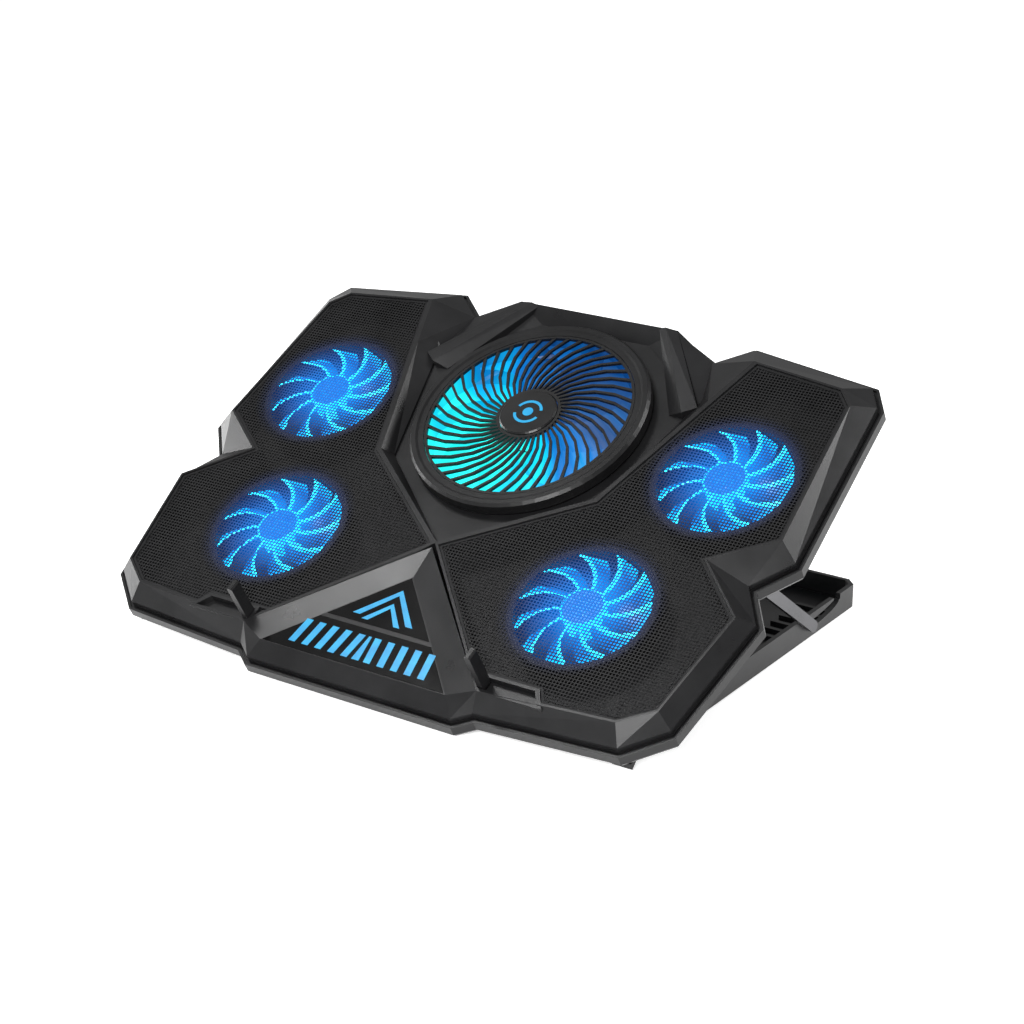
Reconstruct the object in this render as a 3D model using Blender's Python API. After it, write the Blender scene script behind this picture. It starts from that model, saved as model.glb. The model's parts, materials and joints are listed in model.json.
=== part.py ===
"""Laptop cooling pad with five fans on a folding stand.

The pad is modelled in its own frame: X to the user's right, Y to the rear, Z up, with
Z = 0 on the plane of the two mesh panels. The PAD empty lifts and tilts that frame onto
the stand. All sizes are in metres.
"""
import math

import bmesh
import bpy
from mathutils import Matrix, Vector

MM = 0.001

# ---------------------------------------------------------------- driving dimensions
TILT = math.radians(29.3)          # pad above the desk, in its steepest notch
SIDE_X = 200 * MM                  # mesh opening, half of its greatest width
REAR_Y = 152 * MM                  # mesh opening, rear inner corner
FRONT_Y = -118.6 * MM              # mesh opening, front inner corner
FAN_Y = 79 * MM                    # centre of the main fan
NOTCH_DEPTH = 36 * MM              # how far the side notch reaches in
RIM_FLAT = 1.4 * MM                # flat land around each mesh opening
WELL_LAND = 3 * MM                 # land between a mesh panel and the fan well
RIM_DROP = 9 * MM                  # height of the sloping rim
SKIRT_DROP = 12.5 * MM             # lower edge of the top cover
DECK_DROP = 10.8 * MM              # sunken deck around the main fan
WELL_SLOPE = 4 * MM                # run of the well's steep sides
TRI_DROP = 2 * MM                  # window frame below the panels
CLEAR = 0.3 * MM                   # gap between pieces that touch
WALL = 2.2 * MM                    # moulded walls
LIP = 3.6 * MM                     # base shell proud of the top cover
BASE_DROP = 22 * MM                # outside of the base floor
MESH_T = 0.8 * MM                  # perforated sheet
MESH_SINK = 1.1 * MM               # sheet below the rim
LEDGE = 3 * MM                     # shelf that carries the sheet

MAIN_R = 66.5 * MM                 # main grille opening
SHROUD_R = 77 * MM                 # main fan ring, outside
SHROUD_TUBE = 2.4 * MM             # wall of the duct below the ring
MAIN_HUB_R = 18.5 * MM             # cap in the middle of the grille
MAIN_VANES = 44
MAIN_BLADES = 9
FAN_R = 40 * MM                    # small rotor over its blade tips
FAN_HUB_R = 13.5 * MM
FAN_BLADES = 11
FAN_TIP_GAP = 1.3 * MM
FAN_TOP = 2.6 * MM                 # small rotor below the panel plane
FAN_WALL = 1.8 * MM
FRONT_FAN = (SIDE_X - 89 * MM, FRONT_Y + 72 * MM)
REAR_FAN = (SIDE_X - 54.5 * MM, REAR_Y - 88 * MM)

STOP_HEIGHT = 25.5 * MM            # raised laptop stop above the panels
STOP_T = 3.8 * MM
STOP_WIDTH = 7.5 * MM
STOP_X = 85.1 * MM
STOP_Y = FRONT_Y + 4.9 * MM
STOP_AXIS_DROP = 2.4 * MM
STOP_PIN_R = 0.8 * MM

HINGE_Y = FRONT_Y + 18.6 * MM      # stand hinge, in the pad's frame
HINGE_DROP = BASE_DROP + 4.5 * MM
HINGE_PIN_R = 2 * MM
KNUCKLE_R = 4.2 * MM
STAND_X = 174 * MM                 # stand frame, half of its width
STAND_H = 15 * MM
STAND_WALL = 3 * MM
STAND_RAIL = 24 * MM               # width of the frame's front and rear rails
STAND_SIDE = 52 * MM               # width of its side rails, which carry the ratchet ribs
STAND_REAR = REAR_Y + 2 * MM       # where its rear lies when folded, in the pad's frame
FOOT_T = 1.5 * MM
PROP_T = 3 * MM
PROP_WIDTH = 8 * MM
PEG_R = 2 * MM                     # peg that drops into a notch of the stand
PROP_Y = 19 * MM                   # prop pivot, in the pad's frame
PROP_DROP = BASE_DROP + 4.4 * MM
PROP_ANGLE = math.radians(36.5)    # prop below the desk's horizontal
GREY = (0.035, 0.035, 0.038)
DARK = (0.012, 0.012, 0.014)


def pair(points):
    """A right half given front to rear becomes a closed counter-clockwise outline."""
    left = [(-x, y) for x, y in reversed(points) if abs(x) > 1e-6]
    return list(points) + left


def offset(points, distance):
    """Move each side of a counter-clockwise outline out; one distance or one per side."""
    count = len(points)
    steps = distance if isinstance(distance, list) else [distance] * count
    lines = []
    for i, (x0, y0) in enumerate(points):
        x1, y1 = points[(i + 1) % count]
        length = math.hypot(x1 - x0, y1 - y0)
        nx, ny = (y1 - y0) / length, -(x1 - x0) / length
        lines.append((nx, ny, nx * x0 + ny * y0 + steps[i]))
    moved = []
    for i in range(count):
        a, b = lines[i - 1], lines[i]
        det = a[0] * b[1] - a[1] * b[0]
        moved.append(((a[2] * b[1] - a[1] * b[2]) / det, (a[0] * b[2] - a[2] * b[0]) / det))
    return moved


# ---------------------------------------------------------------- outlines
NOTCH_Y = (29 * MM, 3.3 * MM, -30 * MM)
OPENING = [(2.6 * MM, FRONT_Y + 86.1 * MM), (85 * MM, FRONT_Y), (SIDE_X - 29 * MM, FRONT_Y + 5.6 * MM),
           (SIDE_X - 10.5 * MM, FRONT_Y + 19.2 * MM), (SIDE_X, NOTCH_Y[2]), (SIDE_X - NOTCH_DEPTH,
               NOTCH_Y[1]),
           (SIDE_X, NOTCH_Y[0]), (SIDE_X - 8 * MM, REAR_Y - 18.5 * MM), (SIDE_X - 18 * MM,
               REAR_Y - 7.5 * MM),
           (122.5 * MM, REAR_Y), (81 * MM, FAN_Y - 54.5 * MM)]
LAND = offset(OPENING, [1.6 * MM] + [RIM_FLAT] * 8 + [WELL_LAND] * 2)
TRI_FRONT = FRONT_Y - 18.4 * MM
RIM = [(73.5 * MM, TRI_FRONT), (84 * MM, FRONT_Y - 10.7 * MM), (SIDE_X - 24.6 * MM, FRONT_Y - 5.4 * MM),
       (SIDE_X - 2.2 * MM, FRONT_Y + 14.6 * MM), (SIDE_X + 9 * MM, NOTCH_Y[2] + 5.4 * MM),
       (SIDE_X - NOTCH_DEPTH + 28.5 * MM, NOTCH_Y[1] - 4.3 * MM), (SIDE_X + 10.6 * MM, NOTCH_Y[0] - 7 * MM),
       (SIDE_X + 4 * MM, REAR_Y - 8 * MM), (SIDE_X - 5.4 * MM, REAR_Y + 6 * MM), (109.6 * MM, REAR_Y
           + 18 * MM),
       (88.8 * MM, REAR_Y + 1 * MM), (58.5 * MM, REAR_Y + 16 * MM)]
BASE_OUTLINE = offset(pair(RIM), LIP)
DECK_BACK = REAR_Y + 7 * MM
FLOOR_TAPER = 2 * MM
DESK_DROP = (math.cos(TILT) * BASE_DROP - math.sin(TILT) * (TRI_FRONT - LIP + FLOOR_TAPER)
             + 0.5 * MM)
FRONT_REACH = (TRI_FRONT - LIP) * math.cos(TILT) + (SKIRT_DROP + CLEAR) * math.sin(TILT)
REAR_REACH = HINGE_Y * math.cos(TILT) + HINGE_DROP * math.sin(TILT) + STAND_REAR - HINGE_Y
CENTRE_Y = -(FRONT_REACH + REAR_REACH) / 2      # the whole object is centred on the origin


def desk_point(y, drop):
    """World Y and Z of a point of the pad's frame."""
    return (CENTRE_Y + y * math.cos(TILT) + drop * math.sin(TILT),
            DESK_DROP + y * math.sin(TILT) - drop * math.cos(TILT))


HINGE_WY, HINGE_WZ = desk_point(HINGE_Y, HINGE_DROP)
PROP_WY, PROP_WZ = desk_point(PROP_Y, PROP_DROP)
STAND_REAR_WY = HINGE_WY + STAND_REAR - HINGE_Y
PEG_WZ = FOOT_T + 8 * MM
PROP_LENGTH = (PROP_WZ - PEG_WZ) / math.sin(PROP_ANGLE)
PEG_WY = PROP_WY + PROP_LENGTH * math.cos(PROP_ANGLE)

for leftover in list(bpy.data.objects):
    bpy.data.objects.remove(leftover)
PARTS = bpy.data.collections.new("laptop_cooling_pad")
CUTTERS = bpy.data.collections.new("cutters")
bpy.context.scene.collection.children.link(PARTS)
bpy.context.scene.collection.children.link(CUTTERS)


# ---------------------------------------------------------------- helpers
def add_empty(name, location, tilt=0.0, parent=None):
    empty = bpy.data.objects.new(name, None)
    PARTS.objects.link(empty)
    empty.location = location
    empty.rotation_euler = (tilt, 0, 0)
    empty.parent = parent
    return empty


PAD = add_empty("PAD", (0, CENTRE_Y, DESK_DROP), TILT)


def material(name, colour, roughness, metallic=0.0, glow=None):
    mat = bpy.data.materials.new(name)
    mat.use_nodes = True
    shader = mat.node_tree.nodes["Principled BSDF"]
    shader.inputs["Base Color"].default_value = (*colour, 1)
    shader.inputs["Roughness"].default_value = roughness
    shader.inputs["Metallic"].default_value = metallic
    if glow:
        shader.inputs["Emission Color"].default_value = (*glow, 1)
        shader.inputs["Emission Strength"].default_value = 2.0
    return mat


def place(obj, colour, roughness, metallic=0.0, glow=None, parent=PAD, at=(0, 0, 0)):
    """Give a finished piece its material, its parent and its place."""
    obj.data.materials.clear()
    obj.data.materials.append(material(obj.name, colour, roughness, metallic, glow))
    obj.parent = parent
    obj.location = at
    return obj


def from_bmesh(name, bm, collection=PARTS):
    bmesh.ops.recalc_face_normals(bm, faces=bm.faces)
    mesh = bpy.data.meshes.new(name)
    bm.to_mesh(mesh)
    bm.free()
    obj = bpy.data.objects.new(name, mesh)
    collection.objects.link(obj)
    return obj


def loft(name, loops, collection=PARTS):
    """Closed solid through loops of equal count, each a list of (x, y, z)."""
    bm = bmesh.new()
    rings = [[bm.verts.new(point) for point in loop] for loop in loops]
    for low, high in zip(rings, rings[1:]):
        for i in range(len(low)):
            j = (i + 1) % len(low)
            bm.faces.new((low[i], low[j], high[j], high[i]))
    bm.faces.new(list(reversed(rings[0])))
    bm.faces.new(rings[-1])
    return from_bmesh(name, bm, collection)


def prism(name, points, z0, z1, collection=PARTS):
    """Plan outline extruded from z0 up to z1."""
    return loft(name, [[(x, y, z) for x, y in points] for z in (z0, z1)], collection)


def hull(name, points, collection=PARTS):
    """Faceted block around a few corner points."""
    bm = bmesh.new()
    for point in points:
        bm.verts.new(point)
    found = bmesh.ops.convex_hull(bm, input=bm.verts)
    bmesh.ops.delete(bm, geom=found["geom_interior"], context="VERTS")
    bmesh.ops.dissolve_limit(bm, angle_limit=0.001, verts=bm.verts, edges=bm.edges)
    return from_bmesh(name, bm, collection)


def box(name, centre, size, collection=PARTS):
    bm = bmesh.new()
    bmesh.ops.create_cube(bm, size=1.0)
    bmesh.ops.scale(bm, vec=size, verts=bm.verts)
    bmesh.ops.translate(bm, vec=centre, verts=bm.verts)
    return from_bmesh(name, bm, collection)


def cylinder(name, centre, radius, height, sides=32, axis="Z", collection=PARTS, top=None):
    bm = bmesh.new()
    bmesh.ops.create_cone(bm, cap_ends=True, segments=sides, radius1=radius,
                          radius2=radius if top is None else top, depth=height)
    turn = {"Z": Matrix(), "X": Matrix.Rotation(math.pi / 2, 4, "Y"),
            "Y": Matrix.Rotation(math.pi / 2, 4, "X")}[axis]
    bmesh.ops.transform(bm, matrix=Matrix.Translation(centre) @ turn, verts=bm.verts)
    return from_bmesh(name, bm, collection)


def turned(name, profile, sides=48, collection=PARTS):
    """Turn a closed (radius, z) profile about Z."""
    bm = bmesh.new()
    rings = []
    for i in range(sides):
        angle = 2 * math.pi * i / sides
        rings.append([bm.verts.new((r * math.cos(angle), r * math.sin(angle), z)) for r, z in profile])
    for i in range(sides):
        for k in range(len(profile)):
            n = (k + 1) % len(profile)
            bm.faces.new((rings[i][k], rings[i][n], rings[(i + 1) % sides][n], rings[(i + 1) % sides][k]))
    return from_bmesh(name, bm, collection)


def combine(target, tool, operation):
    """Boolean with a tool that is kept as a guide, out of the parts."""
    for owner in list(tool.users_collection):
        owner.objects.unlink(tool)
    CUTTERS.objects.link(tool)
    tool.hide_render = True
    tool.display_type = "WIRE"
    modifier = target.modifiers.new(tool.name, "BOOLEAN")
    modifier.operation = operation
    modifier.object = tool
    modifier.solver = "EXACT"
    return target


def join_to(target, *tools):
    for tool in tools:
        combine(target, tool, "UNION")
    return target


def cut_from(target, *tools):
    for tool in tools:
        combine(target, tool, "DIFFERENCE")
    return target


def mirrored(points):
    return [(-p[0],) + tuple(p[1:]) for p in reversed(points)]


def blade_set(name, count, inner, outer, top, bottom, sweep, chord, thick, sections=4):
    """Swept and pitched fan blades: thin sections lofted from hub to tip."""
    bm = bmesh.new()
    for k in range(count):
        start = 2 * math.pi * k / count
        rings = []
        for s in range(sections):
            share = s / (sections - 1)
            radius = inner + (outer - inner) * share
            lead = start + sweep * share ** 1.5
            trail = lead - chord * (0.75 + 0.25 * share)
            half = thick / 2
            corners = [(lead, top - thick), (lead, top), (trail, bottom + thick), (trail, bottom)]
            rings.append([bm.verts.new((radius * math.cos(a), radius * math.sin(a), z)) for a,
                z in corners])
        for low, high in zip(rings, rings[1:]):
            for i in range(4):
                j = (i + 1) % 4
                bm.faces.new((low[i], low[j], high[j], high[i]))
        bm.faces.new(list(reversed(rings[0])))
        bm.faces.new(rings[-1])
    return from_bmesh(name, bm)


def ring_prism(name, outer, inner, z0, z1, collection=PARTS):
    """Wall between two outlines of equal count."""
    bm = bmesh.new()
    loops = [(inner, z0), (outer, z0), (outer, z1), (inner, z1)]
    rings = [[bm.verts.new((x, y, z)) for x, y in points] for points, z in loops]
    for k in range(4):
        low, high = rings[k], rings[(k + 1) % 4]
        for i in range(len(low)):
            j = (i + 1) % len(low)
            bm.faces.new((low[i], low[j], high[j], high[i]))
    return from_bmesh(name, bm, collection)


def join_islands(name, pieces):
    """One cutter out of several boxes that don't touch."""
    bm = bmesh.new()
    for piece in pieces:
        bm.from_mesh(piece.data)
        bpy.data.objects.remove(piece)
    return from_bmesh(name, bm)


# ---------------------------------------------------------------- top cover
def wing(name):
    """Right wing as a solid: flat land, sloping rim and skirt, before it is hollowed."""
    well_x, well_y = LAND[10]
    outer = [LAND[0]] + RIM[1:10] + [(well_x - WELL_SLOPE, well_y + WELL_SLOPE)]
    return loft(name, [[(x, y, -SKIRT_DROP) for x, y in outer],
                       [(x, y, -RIM_DROP) for x, y in outer],
                       [(x, y, 0) for x, y in LAND]])


def mirror_copy(source, name):
    bm = bmesh.new()
    bm.from_mesh(source.data)
    bmesh.ops.scale(bm, vec=(-1, 1, 1), verts=bm.verts)
    return from_bmesh(name, bm)


def both(make, name):
    right = make(name + "_r")
    return right, mirror_copy(right, name + "_l")


def well_point(y):
    """Point of the well-side land edge at a given depth."""
    (x0, y0), (x1, y1) = LAND[10], LAND[9]
    return (x0 + (x1 - x0) * (y - y0) / (y1 - y0), y, 0)


VALLEY = (*RIM[10], -RIM_DROP)
BACK = (*RIM[11], -TRI_DROP)
VALLEY_FOOT = (99 * MM, REAR_Y - 36 * MM)
LOW = -SKIRT_DROP + 0.4 * MM


def with_feet(points):
    return points + [(p[0], p[1], LOW) for p in points]


def valley(name):
    """Hollow between the wing and the accent bar, behind the main fan."""
    return hull(name, with_feet([VALLEY, BACK, (40 * MM, DECK_BACK, -DECK_DROP), (*VALLEY_FOOT,
        -DECK_DROP)]))


def shoulder(name):
    return hull(name, with_feet([(*RIM[9], -RIM_DROP), (*LAND[9], 0), VALLEY, well_point(VALLEY_FOOT[1]),
                                 (*VALLEY_FOOT, -DECK_DROP)]))


def accent_bar(name):
    """Raised two-faced bar from the back edge down to the well."""
    back = RIM[11][1] - 0.2 * MM
    front = REAR_Y - 44.5 * MM
    return hull(name, with_feet([(58.3 * MM, back, -2 * MM), (50 * MM, back, -0.8 * MM), (45 * MM, back,
        -3 * MM),
                                 (100.3 * MM, front + 6 * MM, -5 * MM), (92.5 * MM, front, -5.2 * MM),
                                 (82.5 * MM, front, -DECK_DROP + 0.5 * MM)]))


def rear_wall():
    return hull("rear_wall", with_feet([(RIM[11][0], RIM[11][1], -TRI_DROP), (-RIM[11][0], RIM[11][1],
        -TRI_DROP),
                                        (40 * MM, DECK_BACK, -DECK_DROP), (-40 * MM, DECK_BACK,
                                            -DECK_DROP)]))


TRI_APEX = (0, OPENING[0][1] - 3 * MM)
TRI_SIDE = (LAND[1][0], LAND[1][1])
WINDOW_APEX = (0, TRI_APEX[1] - 22.5 * MM)
WINDOW_SIDE = (67 * MM, FRONT_Y - 8.8 * MM)


def front_triangle():
    corners = [(*TRI_APEX, 0), (*TRI_SIDE, 0), (*RIM[1], -RIM_DROP), (*RIM[0], -RIM_DROP),
               (*WINDOW_SIDE, -TRI_DROP)]
    corners += mirrored(corners)
    return hull("front_triangle", corners + [(p[0], p[1], -SKIRT_DROP) for p in corners])


def triangle_dish():
    """Sloping bands that lead down to the light windows."""
    grow = 1.2

    def reach(apex, side):
        return [(apex[0] + (side[0] - apex[0]) * grow, apex[1] + (side[1] - apex[1]) * grow)]

    low = [WINDOW_APEX] + [(-x, y) for x, y in reach(WINDOW_APEX, WINDOW_SIDE)] + reach(WINDOW_APEX,
        WINDOW_SIDE)
    top = [TRI_APEX] + [(-x, y) for x, y in reach(TRI_APEX, TRI_SIDE)] + reach(TRI_APEX, TRI_SIDE)
    return loft("triangle_dish", [[(x, y, -TRI_DROP) for x, y in low], [(x, y, 0) for x, y in top],
                                  [(x * 1.02, y, 6 * MM) for x, y in top]])


WINDOW_BAR = FRONT_Y + 19.6 * MM
WINDOWS = {
    "window_upper": [(0, WINDOW_APEX[1] - 3.4 * MM), (-36 * MM, WINDOW_BAR + 2 * MM),
                     (36 * MM, WINDOW_BAR + 2 * MM)],
    "window_lower": [(-40 * MM, WINDOW_BAR - 2 * MM), (-64 * MM, WINDOW_SIDE[1] + 1.6 * MM),
                     (64 * MM, WINDOW_SIDE[1] + 1.6 * MM), (40 * MM, WINDOW_BAR - 2 * MM)],
}
STOP_REACH = STOP_HEIGHT + STOP_AXIS_DROP
POCKET_HALF = STOP_WIDTH / 2 + 2.4 * MM
POCKET_FLOOR = STOP_AXIS_DROP + STOP_T / 2 + 0.5 * MM
POCKET_END = STOP_X + STOP_REACH + 6 * MM


def pocket_outline(grow=0):
    """Stop pocket from its front edge to its chamfered rear corner."""
    x0 = STOP_X - STOP_T / 2 - 2.4 * MM
    return offset([(x0, STOP_Y - POCKET_HALF), (POCKET_END + 8 * MM, STOP_Y - POCKET_HALF),
                   (POCKET_END, STOP_Y + POCKET_HALF), (x0, STOP_Y + POCKET_HALF)], grow)


def pocket(name):
    return prism(name, pocket_outline(), -POCKET_FLOOR - 1.6 * MM, -0.3 * MM)


def pocket_cavity(name):
    half = STOP_WIDTH / 2 + 0.4 * MM
    points = [(STOP_X - STOP_T / 2 - 0.4 * MM, STOP_Y - half), (POCKET_END + 4 * MM, STOP_Y - half),
              (POCKET_END - 2 * MM, STOP_Y + half), (STOP_X - STOP_T / 2 - 0.4 * MM, STOP_Y + half)]
    return prism(name, points, -POCKET_FLOOR, 2 * MM)


def pin_hole(name):
    return cylinder(name, (STOP_X, STOP_Y, -STOP_AXIS_DROP), STOP_PIN_R + CLEAR, STOP_WIDTH + 3.6 * MM, 12,
        "Y")


SCREWS = [(SIDE_X - 0.5 * MM, REAR_Y - 52 * MM), (SIDE_X - 3 * MM, FRONT_Y + 44 * MM), (130 * MM,
    FRONT_Y - 1.8 * MM)]
SCREWS += [(-x, y) for x, y in SCREWS]
SHANK_R = 1.3 * MM
HEAD_R = 2.8 * MM


def screw_holes(name, radius, z0, z1):
    holes = [cylinder("h", (x, y, (z0 + z1) / 2), radius, z1 - z0, 12) for x, y in SCREWS]
    return join_islands(name, holes)


def top_cover():
    cover = wing("top_cover")
    left = mirror_copy(cover, "wing_left")
    deck = prism("deck", pair([(0.5 * MM, LAND[0][1] + 2 * MM), (LAND[10][0], LAND[10][1]),
        (LAND[9][0] - 6 * MM, REAR_Y - 2 * MM),
                               RIM[10], RIM[11]]), -SKIRT_DROP, -DECK_DROP)
    join_to(cover, left, deck, *both(valley, "valley"), *both(shoulder, "shoulder"), rear_wall(),
            *both(accent_bar, "accent_bar"), front_triangle())
    cut_from(cover, triangle_dish())
    for side in (1, -1):
        opening = OPENING if side > 0 else mirrored(OPENING)
        cut_from(cover, prism("mesh_seat", opening, -MESH_SINK - MESH_T - CLEAR, 3 * MM),
                 prism("mesh_well", offset(opening, -LEDGE), -SKIRT_DROP - 1 * MM, -MESH_SINK))
    cut_from(cover, cylinder("fan_hole", (0, FAN_Y, -DECK_DROP), MAIN_R + 1 * MM + SHROUD_TUBE + CLEAR,
        12 * MM, 64))
    for name, points in WINDOWS.items():
        cut_from(cover, prism(name + "_hole", points, -SKIRT_DROP - 1 * MM, 1 * MM))
    join_to(cover, *both(pocket, "pocket"))
    cut_from(cover, *both(pocket_cavity, "pocket_cavity"), *both(pin_hole, "stop_pin_hole"),
             screw_holes("cover_screw_holes", SHANK_R - 0.1 * MM + CLEAR, -SKIRT_DROP - 1 * MM, -6.5 * MM))
    place(cover, GREY, 0.42)


def mesh_panels():
    for side, name in ((1, "mesh_panel_right"), (-1, "mesh_panel_left")):
        opening = OPENING if side > 0 else mirrored(OPENING)
        sheet = prism(name, offset(opening, -CLEAR), -MESH_SINK - MESH_T, -MESH_SINK)
        window = prism("mesh_cut", pocket_outline([9 * MM, CLEAR, CLEAR, 9 * MM]), -9 * MM, 5 * MM)
        if side < 0:
            other = mirror_copy(window, "mesh_cut_left")
            bpy.data.objects.remove(window)
            window = other
        cut_from(sheet, window)
        place(sheet, DARK, 0.5, 0.6)


# ---------------------------------------------------------------- base shell
FLOOR_Z = -(BASE_DROP - WALL)
USB_X = (12 * MM, 30 * MM)
BACK_WALL_Y = RIM[11][1] + LIP
CONTROL_Z = -(BASE_DROP + SKIRT_DROP) / 2 + 0.45 * MM
DIAL_X = -14 * MM
DIAL_R = 6 * MM
DIAL_T = 3 * MM
BUTTON_X = -32 * MM
BUTTON = (7 * MM, 5 * MM, 3.4 * MM)
USB_BODY = (13.2 * MM, 12 * MM, 5.7 * MM)
HINGE_X = 140 * MM
LUG_T = 6 * MM
FANS = {"front_right": FRONT_FAN, "rear_right": REAR_FAN,
        "front_left": (-FRONT_FAN[0], FRONT_FAN[1]), "rear_left": (-REAR_FAN[0], REAR_FAN[1])}


def vents(name, centre, radius):
    """Parallel intake slots in the floor below a fan."""
    slots = []
    pitch = 10 * MM
    rows = int(radius / pitch)
    for row in range(-rows, rows + 1):
        half = math.sqrt(radius ** 2 - (row * pitch) ** 2) - 2 * MM
        if half > 4 * MM:
            slots.append(box("slot", (centre[0], centre[1] + row * pitch, FLOOR_Z - WALL / 2),
                             (2 * half, 4 * MM, 2 * WALL)))
    return join_islands(name, slots)


def knuckle(name, x, width, y, drop, radius, root_y):
    """Lug that hangs below the floor around a cross pin."""
    return hull(name, [(x + s * width / 2, y + radius * math.cos(a), -drop + radius * math.sin(a))
                       for s in (-1, 1) for a in [math.pi + i * math.pi / 8 for i in range(9)]]
                + [(x + s * width / 2, y + t * (radius + root_y), FLOOR_Z - WALL / 2) for s in (-1, 1)
                    for t in (-1, 1)])


def base_shell():
    low = offset(BASE_OUTLINE, -FLOOR_TAPER)
    shell = loft("base_shell", [[(x, y, -BASE_DROP) for x, y in low],
                                [(x, y, -BASE_DROP + 3 * MM) for x, y in BASE_OUTLINE],
                                [(x, y, -SKIRT_DROP - CLEAR) for x, y in BASE_OUTLINE]])
    rim = pair(RIM)
    cut_from(shell, prism("base_cavity", offset(rim, -0.8 * MM), FLOOR_Z, -9 * MM),
             ring_prism("shadow_groove", offset(rim, 2 * MM), offset(rim, 0.3 * MM),
                        -SKIRT_DROP - CLEAR - 1.6 * MM, -9 * MM))
    bosses = [cylinder("boss", (x, y, (FLOOR_Z - 1 * MM - SKIRT_DROP - CLEAR) / 2), 3.8 * MM,
                       -SKIRT_DROP - CLEAR - FLOOR_Z + 1 * MM, 16) for x, y in SCREWS]
    join_to(shell, *bosses)
    for side in (-1, 1):
        join_to(shell, knuckle("hinge_lug", side * HINGE_X, LUG_T, HINGE_Y, HINGE_DROP, KNUCKLE_R, 2 * MM),
                knuckle("prop_lug", side * (STAND_X + 2 * CLEAR + PROP_T + 4 * MM), 4 * MM, PROP_Y,
                    PROP_DROP,
                        PROP_WIDTH / 2, 2 * MM))
    cut_from(shell, screw_holes("base_screw_holes", SHANK_R + CLEAR, -BASE_DROP - 1 * MM, -SKIRT_DROP
        + 1 * MM),
             screw_holes("screw_heads", HEAD_R + CLEAR, -BASE_DROP - 1 * MM, -BASE_DROP + 2.4 * MM))
    cut_from(shell, vents("vents_main", (0, FAN_Y), MAIN_R))
    for name, centre in FANS.items():
        cut_from(shell, vents("vents_" + name, centre, FAN_R))
    for x in USB_X:
        cut_from(shell, box("usb_hole", (x, BACK_WALL_Y - 2 * MM, CONTROL_Z),
                            (USB_BODY[0] + 2 * CLEAR, 10 * MM, USB_BODY[2] + 2 * CLEAR)))
    cut_from(shell, box("dial_slot", (DIAL_X, BACK_WALL_Y - 2 * MM, CONTROL_Z),
                        (2 * DIAL_R + 2 * MM, 10 * MM, DIAL_T + 2 * CLEAR)),
             box("button_hole", (BUTTON_X, BACK_WALL_Y - 2 * MM, CONTROL_Z),
                 (BUTTON[0] + 2 * CLEAR, 10 * MM, BUTTON[2] + 2 * CLEAR)))
    for side in (-1, 1):
        cut_from(shell, cylinder("hinge_bore", (side * HINGE_X, HINGE_Y, -HINGE_DROP), HINGE_PIN_R + CLEAR,
                                 LUG_T + 2 * MM, 16, "X"),
                 cylinder("prop_bore", (side * (STAND_X + 2 * CLEAR + PROP_T + 4 * MM), PROP_Y, -PROP_DROP),
                          PEG_R + CLEAR, 6 * MM, 16, "X"))
    place(shell, GREY, 0.5)


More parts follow.
